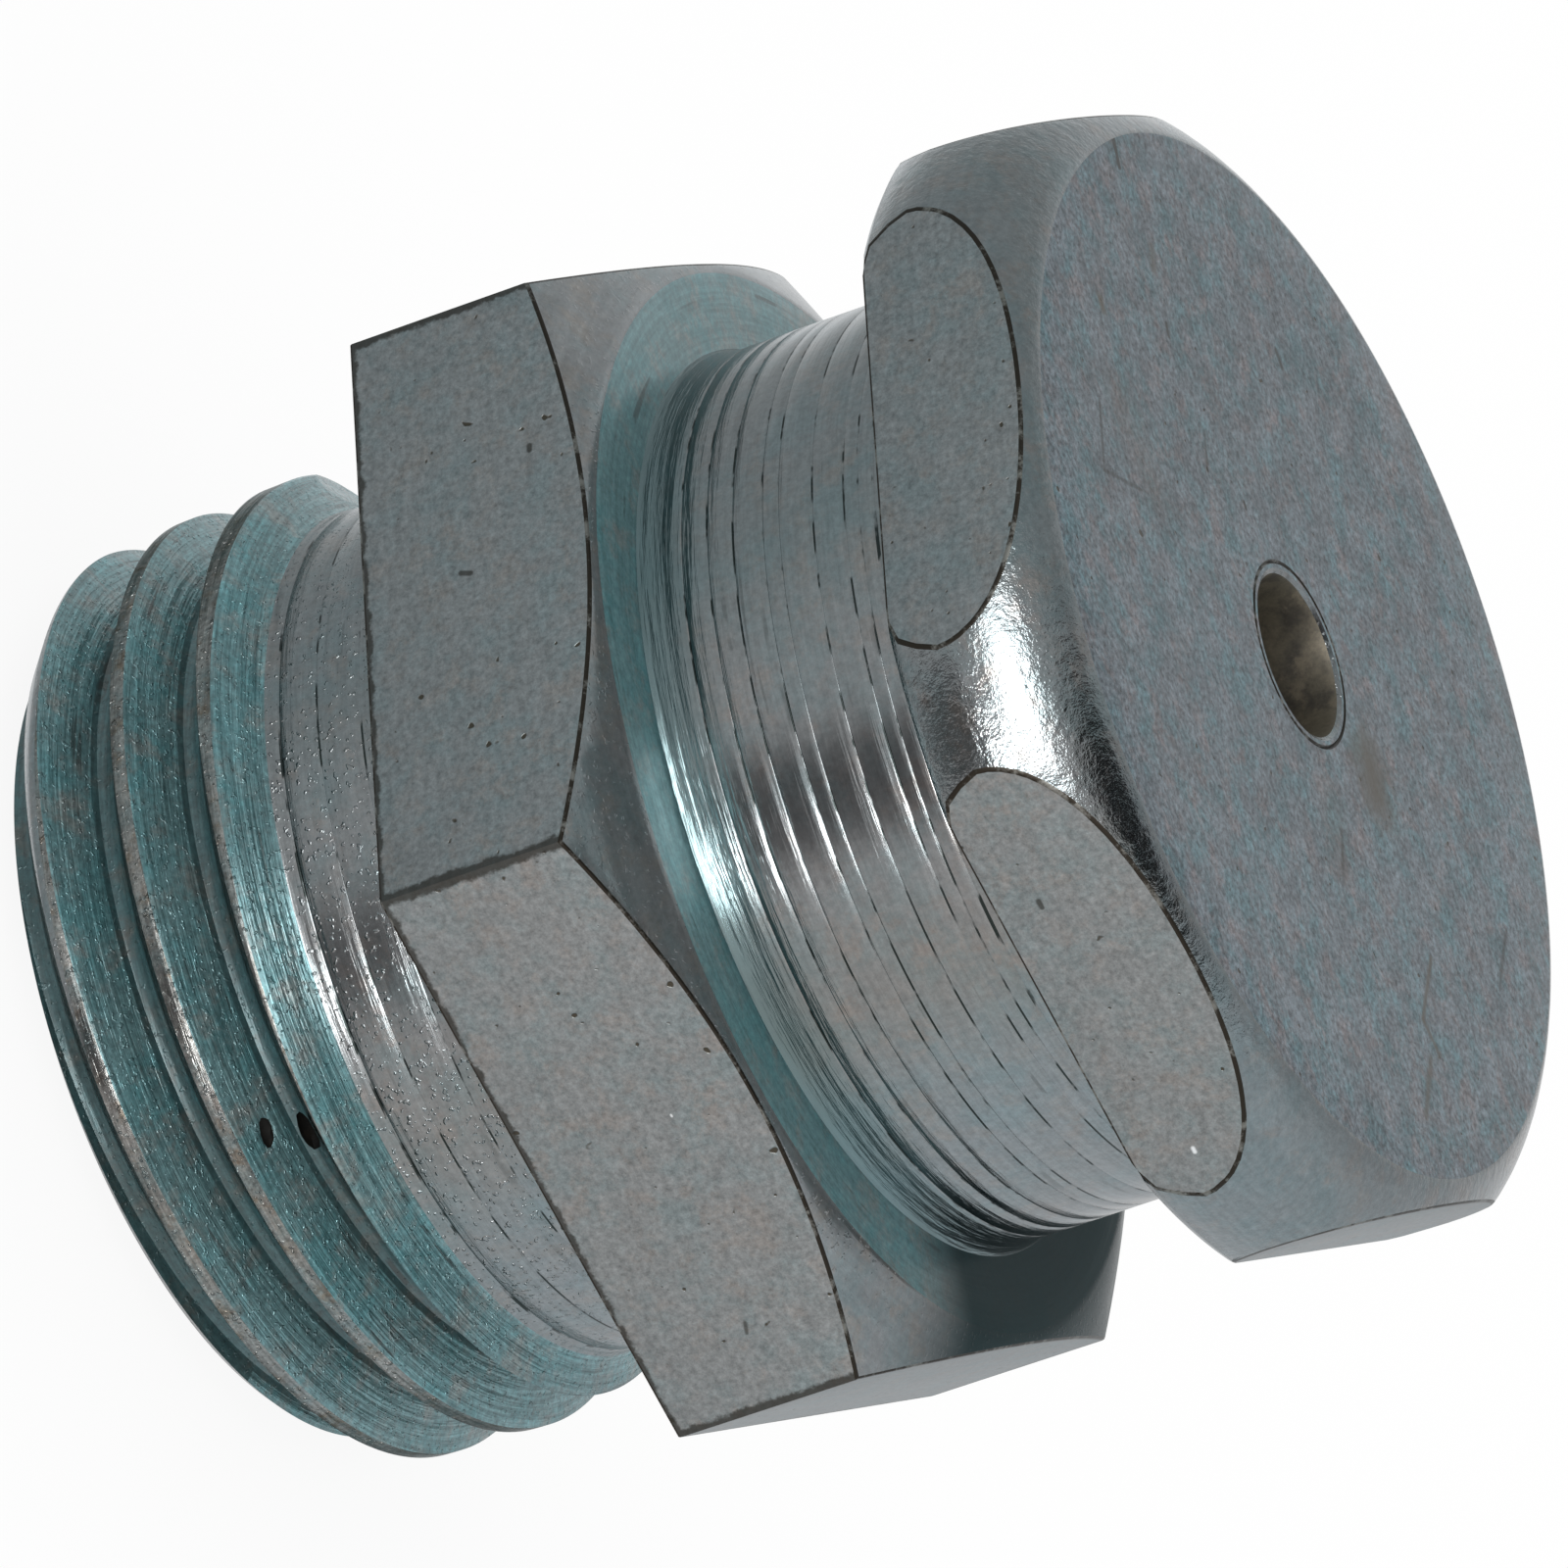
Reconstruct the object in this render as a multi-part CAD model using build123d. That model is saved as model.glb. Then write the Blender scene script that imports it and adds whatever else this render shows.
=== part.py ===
from build123d import *
from math import atan, ceil, cos, degrees, pi, radians, sin, sqrt, tan
import os

# Button-head grease nipple with a conical pipe thread, its valve ball and its valve spring.
# Millimetres. +Z runs along the nipple from the thread to the head, and Z = 0 is the seat, the
# underside of the hexagon collar. One corner of the hexagon points to -Y.

# Hexagon bar and collar
across_flats = 15.0
collar_thickness = 3.4
collar_face_diameter = 14.8
collar_chamfer_angle = 30.0

# Neck that the coupler's jaws close round
neck_diameter = 12.4
neck_length = 4.15

# Button head
head_thickness = 2.3
head_diameter = 16.5
head_back_diameter = 16.2
face_diameter = 14.5
crown_height = 1.6
crown_radius = 1.8

# Shank and its 1/4 inch conical pipe thread, 19 threads to the inch
shank_length = 6.4
relief_diameter = 11.8
relief_length = 2.45
relief_chamfer_angle = 60.0
end_chamfer = 0.75
thread_pitch = 1.337
thread_height = 0.856
thread_angle = 55.0
crest_width = 0.223
gauge_diameter = 13.157
gauge_length = 4.7
diameter_taper = 1 / 16
groove_end_height = 2.32
groove_end_angle = -130.0

# Bore, valve seat and turned-in edge
inlet_diameter = 2.2
inlet_length = 1.3
seat_cone_angle = 90.0
chamber_diameter = 4.6
outlet_diameter = 2.0
lip_thickness = 0.7

# Ball and spring
ball_diameter = 3.5
spring_mean_diameter = 2.6
wire_diameter = 0.4
spring_coil_count = 9
closed_coil_count = 1
closed_coil_pitch = 0.45
contact_clearance = 0.03

# How the thread tool and the wire are drawn; the wire has flats in place of a round section
tool_overlap = 0.12
lead_in_turns = 0.62
coil_point_count = 12
wire_flat_count = 8

# Stations along the axis
head_back = collar_thickness + neck_length
head_face = head_back + head_thickness
free_end = -shank_length
lip_top = free_end + lip_thickness
gauge_plane = free_end + gauge_length

half_flats = across_flats / 2
corner_radius = across_flats / sqrt(3)
half_cone = radians(seat_cone_angle / 2)
radius_taper = diameter_taper / 2

# The ball rests on the seat cone; the cone's sides would meet at the apex
inlet_end = head_face - inlet_length
seat_apex = inlet_end + inlet_diameter / 2 / tan(half_cone)
ball_height = seat_apex - (ball_diameter / 2 + contact_clearance) / sin(half_cone)

# Wire centre of the lowest and of the highest coil
ball_to_wire = (ball_diameter + wire_diameter) / 2 + contact_clearance
spring_bottom = lip_top + wire_diameter / 2 + contact_clearance
spring_top = ball_height - sqrt(ball_to_wire**2 - (spring_mean_diameter / 2) ** 2)


def crest_radius(z):
    """Radius of the thread's crests at a height."""
    return gauge_diameter / 2 + (z - gauge_plane) * radius_taper


def turned(*edges):
    """Solid turned from the edges of a closed half outline, drawn as radius and height."""
    return revolve(Plane.XZ * make_face(Curve() + list(edges)), Axis.Z)


def hexagon_bar(bottom, top):
    """Length of the hexagon bar between two heights."""
    section = RegularPolygon(half_flats, 6, major_radius=False, rotation=30)
    return Pos(0, 0, bottom) * extrude(section, amount=top - bottom)


def collar():
    """Hexagon collar: a plain seat below, its corners turned off above."""
    face_radius = collar_face_diameter / 2
    drop = (corner_radius - face_radius) * tan(radians(collar_chamfer_angle))
    blank = turned(
        Polyline(
            (0, 0),
            (corner_radius, 0),
            (corner_radius, collar_thickness - drop),
            (face_radius, collar_thickness),
            (0, collar_thickness),
            (0, 0),
        )
    )
    return blank & hexagon_bar(0, collar_thickness)


def head():
    """Button head: turned to a rounded crown, with the bar's flats left on its sides."""
    crown_low = head_face - crown_height
    face_radius = face_diameter / 2
    crown = RadiusArc((face_radius, head_face), (head_diameter / 2, crown_low), crown_radius)
    rest = Polyline(
        (head_diameter / 2, crown_low),
        (head_back_diameter / 2, head_back),
        (0, head_back),
        (0, head_face),
        (face_radius, head_face),
    )
    return turned(crown, rest) & hexagon_bar(head_back, head_face)


def neck():
    """Plain turned neck between the collar and the head."""
    return Cylinder(neck_diameter / 2, head_back, align=(Align.CENTER, Align.CENTER, Align.MIN))


def shank_blank():
    """Shank before threading: chamfered free end, cone, plain relief under the collar."""
    chamfer_top = free_end + end_chamfer
    relief = relief_diameter / 2
    relief_depth = crest_radius(-relief_length) - relief
    relief_start = -relief_length - relief_depth / tan(radians(relief_chamfer_angle))
    return turned(
        Polyline(
            (0, free_end),
            (crest_radius(free_end) - end_chamfer, free_end),
            (crest_radius(chamfer_top), chamfer_top),
            (crest_radius(relief_start), relief_start),
            (relief, -relief_length),
            (relief, 0),
            (0, 0),
            (0, free_end),
        )
    )


def groove_section(path, at):
    """Section of the thread groove at a place on its helix, square to the helix."""
    half_angle = radians(thread_angle / 2)
    mouth = (thread_pitch - crest_width) / 2 + tool_overlap * tan(half_angle)
    root = mouth - (thread_height + tool_overlap) * tan(half_angle)
    section = make_face(
        Polyline(
            (tool_overlap, -mouth),
            (tool_overlap, mouth),
            (-thread_height, root),
            (-thread_height, -root),
            close=True,
        )
    )
    place = path @ at
    outward = Vector(place.X, place.Y, 0).normalized()
    return Plane(origin=place, x_dir=outward, z_dir=path % at) * section


def thread_tools():
    """Groove of the thread, one turn or less at a time, and its straight run-out."""
    start = free_end - lead_in_turns * thread_pitch
    rise = -groove_end_height - start
    turns = ceil(rise / thread_pitch)
    step = rise / turns
    turn_angle = 360 * step / thread_pitch
    cone_angle = degrees(atan(radius_taper))
    tools = []
    for index in range(turns):
        low = start + index * step
        helix = Edge.make_helix(
            thread_pitch, step, crest_radius(low), (0, 0, low), (0, 0, 1), cone_angle
        )
        spin = Rot(0, 0, groove_end_angle - (turns - index) * turn_angle)
        tools.append(spin * sweep(groove_section(helix, 0), path=helix, is_frenet=True))
    run_out_length = sqrt(2 * crest_radius(0) * (thread_height + tool_overlap))
    end_section = groove_section(helix, 1)
    tools.append(spin * extrude(end_section, amount=run_out_length, dir=helix % 1))
    return tools


def shank():
    """Shank with its conical pipe thread."""
    body = shank_blank()
    for tool in thread_tools():
        body = body - tool
    return body


def bore():
    """Space inside: inlet, valve seat, spring chamber and the outlet in the turned-in edge."""
    inlet = inlet_diameter / 2
    chamber = chamber_diameter / 2
    outlet = outlet_diameter / 2
    seat_low = inlet_end - (chamber - inlet) / tan(half_cone)
    return turned(
        Polyline(
            (0, free_end),
            (outlet, free_end),
            (outlet, lip_top),
            (chamber, lip_top),
            (chamber, seat_low),
            (inlet, inlet_end),
            (inlet, head_face),
            (0, head_face),
            (0, free_end),
        )
    )


def nipple_body():
    """The one turned piece: head, neck, collar and threaded shank, bored through."""
    return head() + neck() + collar() + shank() - bore()


def valve_ball():
    """Ball that closes the inlet."""
    return Pos(0, 0, ball_height) * Sphere(ball_diameter / 2)


def coil_height(turn):
    """Height of the wire's centre after a number of turns from the lowest coil."""
    closed_rise = closed_coil_count * closed_coil_pitch
    open_coils = spring_coil_count - 2 * closed_coil_count
    open_rise = spring_top - spring_bottom - 2 * closed_rise
    if turn < closed_coil_count:
        return spring_bottom + turn * closed_coil_pitch
    if turn > spring_coil_count - closed_coil_count:
        return spring_top - (spring_coil_count - turn) * closed_coil_pitch
    return spring_bottom + closed_rise + (turn - closed_coil_count) / open_coils * open_rise


def valve_spring():
    """Compression spring with a closed coil at each end, pressing the ball on its seat."""
    radius = spring_mean_diameter / 2
    points = []
    for index in range(spring_coil_count * coil_point_count + 1):
        turn = index / coil_point_count
        angle = 2 * pi * turn
        points.append((radius * cos(angle), radius * sin(angle), coil_height(turn)))
    wire_line = Spline(*points)
    section = RegularPolygon(wire_diameter / 2, wire_flat_count)
    start = Plane(origin=wire_line @ 0, z_dir=wire_line % 0)
    return sweep(start * section, path=wire_line, is_frenet=True)


os.makedirs("parts", exist_ok=True)
export_step(nipple_body(), "parts/nipple_body.step")
export_step(valve_ball(), "parts/valve_ball.step")
export_step(valve_spring(), "parts/valve_spring.step")
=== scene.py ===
from math import atan2, cos, hypot, pi, radians, sin, sqrt, tan

import bmesh
import bpy
from mathutils import Matrix, Vector


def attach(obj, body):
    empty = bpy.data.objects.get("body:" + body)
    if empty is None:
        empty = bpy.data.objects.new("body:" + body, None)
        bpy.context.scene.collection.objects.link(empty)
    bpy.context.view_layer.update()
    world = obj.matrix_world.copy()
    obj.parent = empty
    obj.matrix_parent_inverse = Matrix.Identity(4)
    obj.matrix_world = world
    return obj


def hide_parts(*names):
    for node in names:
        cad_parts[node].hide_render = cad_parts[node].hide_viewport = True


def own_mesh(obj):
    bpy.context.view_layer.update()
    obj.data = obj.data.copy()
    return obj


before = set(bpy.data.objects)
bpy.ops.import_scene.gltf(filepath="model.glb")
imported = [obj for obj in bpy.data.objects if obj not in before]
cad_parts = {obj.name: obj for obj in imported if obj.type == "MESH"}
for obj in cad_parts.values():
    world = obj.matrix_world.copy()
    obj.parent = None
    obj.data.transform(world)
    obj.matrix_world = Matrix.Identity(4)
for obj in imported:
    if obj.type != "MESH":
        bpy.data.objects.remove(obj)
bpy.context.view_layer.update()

# Button-head grease nipple, with its axis along Z, its collar's underside at zero and its thread
# below. Sizes here are in millimetres and go into Blender as metres.
MM = 0.001

# Collar and head, cut by the six flats of the bar
HALF_FLATS = 7.5
CORNER_RADIUS = 8.70
EDGE_BREAK = 0.035
COLLAR_TOP = 3.4
COLLAR_FACE_RADIUS = 7.4
CHAMFER_ANGLE = radians(30)
HEAD_BACK = 7.55
HEAD_FACE = 9.85
FACE_RADIUS = 7.25
CROWN_RADIUS = 8.22
CROWN_LOW = 8.25
CROWN_CURVE = 1.8

# Neck, with the flare at its foot
NECK_RADIUS = 6.2
FOOT_TOP = 3.85
FOOT_CURVE = 1.4

# Bore, from its mouth in the head to the outlet in the free end
MOUTH_RADIUS = 1.10
BORE_RADIUS = 2.30
BORE_FLOOR = -5.70
OUTLET_RADIUS = 1.00

# Relief under the collar, and the conical thread
RELIEF_RADIUS = 5.9
FREE_END = -6.4
TIP_CHAMFER = 0.75
PITCH = 1.337
CONE_LENGTH = 212.2
GROOVE_END_ANGLE = radians(-200)
GROOVE_END_HEIGHT = -2.58
RUN_OUT = 3.55

# Spring: heights and radius are those of the wire's centre
SPRING_COILS = 9
SPRING_LOW = -5.47
SPRING_HIGH = 5.63
SPRING_RADIUS = 1.3
WIRE_RADIUS = 0.2
CLOSED_RISE = 0.45

# Millimetres in a metre, for patterns that are set out in millimetres
PER_METRE = 1000.0

# Fineness of the meshes
SPIN_STEPS = 256
STEPS_PER_TURN = 144
POINTS_PER_COIL = 16


def crest_radius(z):
    """Radius of the conical thread's crests: it tapers 1 in 16 on the diameter."""
    return 6.6316 + z / 32


# ---------------------------------------------------------------- modelling helpers


def only(obj):
    """Makes obj the one selected and active object."""
    bpy.ops.object.select_all(action="DESELECT")
    obj.select_set(True)
    bpy.context.view_layer.objects.active = obj


def edit(obj):
    """Opens an object in edit mode with nothing selected."""
    only(obj)
    bpy.ops.object.mode_set(mode="EDIT")
    bpy.ops.mesh.select_all(action="DESELECT")


def leave():
    """Goes back to object mode."""
    bpy.ops.object.mode_set(mode="OBJECT")


def pick_faces(obj, test):
    """In edit mode, selects just the faces that pass the test."""
    bpy.ops.mesh.select_mode(type="FACE")
    bpy.ops.mesh.select_all(action="DESELECT")
    mesh = bmesh.from_edit_mesh(obj.data)
    for face in mesh.faces:
        if test(face):
            face.select_set(True)
    bmesh.update_edit_mesh(obj.data)


def apply_all(obj):
    """Applies an object's modifiers in their order."""
    only(obj)
    for modifier in list(obj.modifiers):
        bpy.ops.object.modifier_apply(modifier=modifier.name)


def cut_away(obj, tool, name):
    """Cuts a tool from an object and removes it. The new faces take the tool's material."""
    only(obj)
    cut = obj.modifiers.new(name, "BOOLEAN")
    cut.object = tool
    cut.operation = "DIFFERENCE"
    cut.solver = "EXACT"
    cut.material_mode = "TRANSFER"
    apply_all(obj)
    bpy.data.objects.remove(tool, do_unlink=True)


def draw_outline(name, points):
    """A closed chain of edges in the XZ plane, drawn point by point and left in edit mode."""
    first = points[0]
    bpy.ops.object.select_all(action="DESELECT")
    bpy.ops.mesh.primitive_plane_add(size=MM, location=(first[0] * MM, 0, first[1] * MM))
    obj = bpy.context.object
    obj.name = obj.data.name = name
    bpy.ops.object.transform_apply(location=True)
    bpy.ops.object.mode_set(mode="EDIT")
    bpy.ops.mesh.select_mode(type="VERT")
    bpy.ops.mesh.select_all(action="SELECT")
    bpy.ops.mesh.merge(type="CENTER")
    at = first
    for point in points[1:] + [first]:
        step = ((point[0] - at[0]) * MM, 0, (point[1] - at[1]) * MM)
        bpy.ops.mesh.extrude_region_move(TRANSFORM_OT_translate={"value": step})
        at = point
    bpy.ops.mesh.select_all(action="SELECT")
    bpy.ops.mesh.remove_doubles(threshold=1e-7)
    return obj


# ---------------------------------------------------------------- the turned body

# Tool lines round the neck and the relief, from the lowest up: height, width, depth
NECK_LINES = [
    (4.02, 0.03, 0.006), (4.40, 0.03, 0.006), (4.78, 0.03, 0.006), (5.22, 0.03, 0.006),
    (5.46, 0.03, 0.006), (5.96, 0.03, 0.006), (6.42, 0.03, 0.006), (6.63, 0.03, 0.006),
    (6.86, 0.05, 0.010),
]
RELIEF_LINES = [(-2.19, 0.05, 0.012), (-1.62, 0.03, 0.006), (-0.98, 0.03, 0.006)]


def lined_wall(radius, low, high, lines):
    """Wall of a turned band going up, with its tool lines cut as small V grooves."""
    points = [(radius, low)]
    for z, width, depth in lines:
        points += [(radius, z - width / 2), (radius - depth, z), (radius, z + width / 2)]
    points.append((radius, high))
    return points


def neck_foot(steps=6):
    """The flare at the foot of the neck, from the collar's face up to the plain wall."""
    low = COLLAR_TOP + 0.04
    made = [(NECK_RADIUS + 0.09, COLLAR_TOP)]
    for i in range(steps):
        z = low + (FOOT_TOP - low) * i / steps
        made.append((NECK_RADIUS + FOOT_CURVE - sqrt(FOOT_CURVE**2 - (FOOT_TOP - z) ** 2), z))
    return made


def crown_arc(steps=12):
    """The head's rounded crown, from its widest ring up to the edge of its face."""
    a = Vector((CROWN_RADIUS, CROWN_LOW))
    b = Vector((FACE_RADIUS, HEAD_FACE - 0.015))
    half = (b - a).length / 2
    middle = (a + b) / 2
    side = Vector((-(b - a).y, (b - a).x)).normalized()
    centre = middle + side * sqrt(CROWN_CURVE**2 - half**2)
    start = atan2(a.y - centre.y, a.x - centre.x)
    end = atan2(b.y - centre.y, b.x - centre.x)
    made = []
    for i in range(1, steps + 1):
        t = start + (end - start) * i / steps
        made.append((centre.x + CROWN_CURVE * cos(t), centre.y + CROWN_CURVE * sin(t)))
    return made


def chamfer_height(radius):
    """Height of the collar's cone at a radius."""
    return COLLAR_TOP - (radius - COLLAR_FACE_RADIUS) * tan(CHAMFER_ANGLE)


def body_outline():
    """Half outline of the nipple, from the free end round to the face and down the bore."""
    # Free end and thread
    tip = crest_radius(FREE_END) - TIP_CHAMFER
    outline = [(1.06, FREE_END), (3.2, FREE_END), (tip - 0.08, FREE_END)]
    outline += [(tip + 0.02, FREE_END + 0.05), (crest_radius(-5.65) - 0.04, -5.69)]
    outline += [(crest_radius(z), z) for z in (-5.58, -5.0, -4.3, -3.7, -3.12, -2.86)]
    outline += [(crest_radius(-2.81) - 0.03, -2.81)]
    # Relief
    outline += [(RELIEF_RADIUS + 0.07, -2.48), (RELIEF_RADIUS + 0.02, -2.40)]
    outline += lined_wall(RELIEF_RADIUS, -2.30, -0.22, RELIEF_LINES)
    outline += [(RELIEF_RADIUS + 0.03, -0.10), (RELIEF_RADIUS + 0.10, -0.03)]
    # Collar
    outline += [(radius, 0) for radius in (RELIEF_RADIUS + 0.22, 7.3, CORNER_RADIUS)]
    outline += [(radius, chamfer_height(radius)) for radius in (CORNER_RADIUS, 8.05)]
    outline += [(COLLAR_FACE_RADIUS + 0.05, COLLAR_TOP - 0.03)]
    outline += [(radius, COLLAR_TOP) for radius in (COLLAR_FACE_RADIUS - 0.05, 6.9, 6.6)]
    # Neck
    outline += neck_foot()
    outline += lined_wall(NECK_RADIUS, FOOT_TOP, HEAD_BACK - 0.24, NECK_LINES)
    outline += [(NECK_RADIUS + 0.05, HEAD_BACK - 0.09)]
    # Head
    outline += [(radius, HEAD_BACK) for radius in (NECK_RADIUS + 0.22, 7.2, 7.98)]
    outline += [(8.10, HEAD_BACK + 0.13), (8.17, 7.95), (CROWN_RADIUS, CROWN_LOW)]
    outline += crown_arc()
    outline += [(radius, HEAD_FACE) for radius in (FACE_RADIUS - 0.06, 6.2, 5.0, 3.6, 2.3, 1.31)]
    # Mouth, bore and outlet
    outline += [(1.28, HEAD_FACE - 0.03), (1.25, HEAD_FACE), (1.19, HEAD_FACE)]
    outline += [(1.13, HEAD_FACE - 0.04)]
    outline += [(MOUTH_RADIUS, z) for z in (HEAD_FACE - 0.14, 9.2, 8.60)]
    outline += [(1.14, 8.53), (2.26, 7.41)]
    outline += [(BORE_RADIUS, z) for z in (7.32, 4.0, 0.0, -3.0, -5.62)]
    outline += [(2.22, BORE_FLOOR), (1.12, BORE_FLOOR)]
    outline += [(OUTLET_RADIUS, z) for z in (-5.78, -6.34)]
    return outline


def turn_body():
    """Spins the half outline into the turned blank."""
    obj = draw_outline("nipple_skin", body_outline())
    bpy.ops.mesh.spin(steps=SPIN_STEPS, angle=2 * pi, center=(0, 0, 0), axis=(0, 0, 1))
    bpy.ops.mesh.select_all(action="SELECT")
    bpy.ops.mesh.remove_doubles(threshold=2e-6)
    bpy.ops.mesh.normals_make_consistent(inside=False)
    leave()
    return obj


def cut_flats(obj):
    """Cuts the six flats of the bar through the collar and the head."""
    edit(obj)
    for side in range(6):
        angle = radians(-60 + 60 * side)
        normal = (cos(angle), sin(angle), 0)
        bpy.ops.mesh.select_all(action="SELECT")
        bpy.ops.mesh.bisect(
            plane_co=[HALF_FLATS * MM * n for n in normal],
            plane_no=normal,
            use_fill=True,
            clear_outer=True,
            threshold=1e-7,
        )
    leave()


def on_flat(face):
    """True for a face that lies in one of the bar's flats."""
    angle = atan2(face.normal.y, face.normal.x)
    near = radians(60) * round(angle / radians(60))
    across = face.normal.x * cos(near) + face.normal.y * sin(near)
    centre = face.calc_center_median()
    reach = centre.x * cos(near) + centre.y * sin(near)
    return across > 0.9999 and abs(reach - HALF_FLATS * MM) < 1e-6


def clear_beside_flats(obj, gap):
    """Merges into a flat's border the turned surface's points that lie closer than the gap."""
    mesh = bmesh.from_edit_mesh(obj.data)
    for _ in range(4):
        border = {v for f in mesh.faces if on_flat(f) for v in f.verts}
        target, used = {}, set()
        beside = (edge for v in border for edge in v.link_edges)
        for edge in sorted(beside, key=lambda edge: edge.calc_length()):
            a, b = edge.verts if edge.verts[0] in border else reversed(edge.verts)
            if edge.calc_length() > gap * MM or a in used or b in used:
                continue
            target[b] = a
            used |= {a, b}
        if not target:
            break
        bmesh.ops.weld_verts(mesh, targetmap=target)
        bmesh.ops.dissolve_degenerate(mesh, dist=1e-8, edges=mesh.edges)
    bmesh.update_edit_mesh(obj.data)


def round_flat_edges(obj, width):
    """Breaks the edges round the flats with a small bevel."""
    edit(obj)
    bpy.ops.mesh.select_mode(type="VERT")
    clear_beside_flats(obj, 2.2 * width)
    pick_faces(obj, on_flat)
    bpy.ops.mesh.region_to_loop()
    bpy.ops.mesh.bevel(
        offset_type="OFFSET",
        offset=width * MM,
        segments=2,
        profile=0.6,
        clamp_overlap=False,
        material=EDGE,
    )
    leave()


# Half section of the thread groove: distance outward from the crest, half width
GROOVE_SECTION = [
    (0.35, 0.62), (0.10, 0.60), (0.02, 0.577), (-0.03, 0.547), (-0.10, 0.506),
    (-0.45, 0.323), (-0.75, 0.167), (-0.83, 0.115), (-0.856, 0.045),
]


def groove_tool():
    """The thread groove as a solid: its section swept along the helix, then run out straight."""
    start_height = FREE_END - 0.85
    turns = (GROOVE_END_HEIGHT - start_height) / PITCH
    start_angle = GROOVE_END_ANGLE - 2 * pi * turns
    base = crest_radius(0)
    section = [(base + x, start_height + y) for x, y in GROOVE_SECTION]
    section += [(base + x, start_height - y) for x, y in reversed(GROOVE_SECTION)]
    obj = draw_outline("groove_tool", section)
    leave()
    screw = obj.modifiers.new("Helix", "SCREW")
    screw.axis = "Z"
    screw.angle = 2 * pi * turns
    screw.screw_offset = PITCH * turns * MM
    screw.steps = screw.render_steps = round(STEPS_PER_TURN * turns)
    screw.use_merge_vertices = False
    apply_all(obj)
    edit(obj)
    bpy.ops.mesh.select_mode(type="EDGE")
    bpy.ops.mesh.select_non_manifold(extend=False)
    bpy.ops.mesh.edge_face_add()
    end = 2 * pi * turns
    ahead = Vector((-sin(end), cos(end), PITCH / (2 * pi * base))).normalized() * RUN_OUT * MM
    pick_faces(obj, lambda f: len(f.verts) > 4 and f.calc_center_median().z > -3 * MM)
    bpy.ops.mesh.extrude_region_move(TRANSFORM_OT_translate={"value": ahead})
    bpy.ops.mesh.select_all(action="SELECT")
    bpy.ops.mesh.normals_make_consistent(inside=False)
    leave()
    depth = (obj.bound_box[6][2] - obj.bound_box[0][2]) / MM
    taper = obj.modifiers.new("Taper", "SIMPLE_DEFORM")
    taper.deform_method = "TAPER"
    taper.deform_axis = "Z"
    taper.factor = depth / CONE_LENGTH
    apply_all(obj)
    obj.rotation_euler.z = start_angle
    bpy.ops.object.transform_apply(rotation=True)
    obj.data.materials.append(finishes[GROOVE])
    return obj


# Dents in the thread: middle and half sizes
DENTS = [
    ((2.10, -5.72, -3.76), (0.22, 0.13, 0.10)),
    ((2.20, -5.22, -3.40), (0.34, 0.20, 0.12)),
]


def strike_dents(obj):
    """Knocks the small dark dents into the thread."""
    for middle, size in DENTS:
        bpy.ops.object.select_all(action="DESELECT")
        bpy.ops.mesh.primitive_ico_sphere_add(subdivisions=2, radius=MM, location=(0, 0, 0))
        tool = bpy.context.object
        edit(tool)
        bpy.ops.mesh.select_all(action="SELECT")
        bpy.ops.transform.resize(value=size)
        bpy.ops.transform.vertex_random(offset=0.03 * MM, seed=4)
        bpy.ops.transform.translate(value=[c * MM for c in middle])
        leave()
        tool.data.materials.append(finishes[PIT])
        cut_away(obj, tool, "Dent")


def paint_faces(obj, index, test):
    """Gives the faces that pass the test one of the piece's materials."""
    for face in obj.data.polygons:
        if test(face):
            face.material_index = index


def reach_of(face):
    """Distance of a face's centre from the axis, in mm."""
    return hypot(face.center.x, face.center.y) / MM


def height_of(face):
    """Height of a face's centre, in mm."""
    return face.center.z / MM


def on_band(face, low, high, inner, outer):
    """True for a turned face between two heights and two radii."""
    inside = low < height_of(face) < high and inner < reach_of(face) < outer
    return face.material_index == TURNED and inside


def in_tool_line(face):
    """True for a face inside one of the tool lines."""
    if face.material_index not in (TURNED, NECK):
        return False
    z = height_of(face)
    lines = NECK_LINES if z > 0 else RELIEF_LINES
    wall = NECK_RADIUS if z > 0 else RELIEF_RADIUS
    cut = reach_of(face) < wall - 0.002
    return cut and any(abs(z - height) < width / 2 for height, width, _ in lines)


def on_crest(face):
    """True for a face on the crests of the thread."""
    z = height_of(face)
    high = reach_of(face) > crest_radius(z) - 0.03
    return face.material_index == TURNED and -5.6 < z < -2.8 and high


def in_root(face):
    """True for a face on the floor of the thread groove."""
    z = height_of(face)
    deep = reach_of(face) < crest_radius(z) - 0.64
    return face.material_index in (GROOVE, CREST) and z < -2.9 and deep


def coil_height(turn):
    """Height of the wire's centre after a number of turns from the lowest coil."""
    if turn < 1:
        return SPRING_LOW + turn * CLOSED_RISE
    if turn > SPRING_COILS - 1:
        return SPRING_HIGH - (SPRING_COILS - turn) * CLOSED_RISE
    rise = (SPRING_HIGH - SPRING_LOW - 2 * CLOSED_RISE) / (SPRING_COILS - 2)
    return SPRING_LOW + CLOSED_RISE + (turn - 1) * rise


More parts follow.
